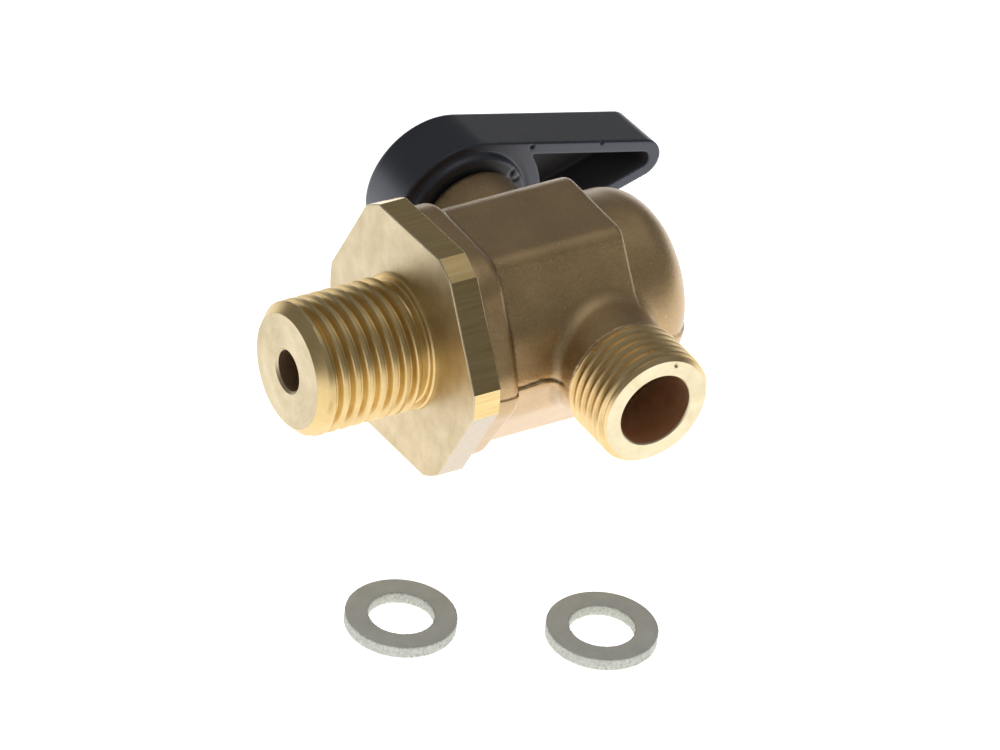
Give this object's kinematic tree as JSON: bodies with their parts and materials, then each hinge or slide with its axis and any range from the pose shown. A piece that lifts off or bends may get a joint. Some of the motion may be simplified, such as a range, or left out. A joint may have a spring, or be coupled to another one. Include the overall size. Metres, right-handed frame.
{
  "type": "drain cock",
  "caption": "Angle drain cock in brass with a male threaded inlet, hexagon, side outlet and lever handle, with two loose flat sealing washers.",
  "frame": {"origin": "where the inlet axis crosses the hexagon's seating face", "axes": "+X along the inlet axis into the body; -Y out of the outlet; +Y towards the lever; +Z normal to the forging's parting plane, with the two washers lying flat at the hexagon's lowest level"},
  "size_m": [0.057, 0.061, 0.0246],
  "materials": {
    "forged_brass": "as forged, dull brown",
    "machined_brass": "turned, bright",
    "stem_brass": "turned",
    "ball_chrome": "polished",
    "seal_rubber": "smooth",
    "ptfe": "waxy",
    "handle_plastic": "fine moulded texture",
    "fastener_steel": "zinc plated",
    "fibre": "compressed fibre sheet"
  },
  "bodies": {
    "valve": {"valve_body": "forged_brass", "inlet_nipple": "machined_brass", "nipple_o_ring": "seal_rubber", "front_seat": "ptfe", "rear_seat": "ptfe", "stem_thrust_washer": "ptfe", "fibre_washer_left": "fibre", "fibre_washer_right": "fibre"},
    "lever": {"handle": "handle_plastic", "stem": "stem_brass", "ball": "ball_chrome", "stem_o_ring_lower": "seal_rubber", "stem_o_ring_upper": "seal_rubber", "screw_washer": "fastener_steel", "handle_screw": "fastener_steel"}
  },
  "joints": [
    {"name": "lever_turn", "type": "hinge", "parent": "valve", "child": "lever", "pos_m": [0.0164, 0, 0], "axis": [0, -1, 0], "range_deg": [0, 90]}
  ]
}
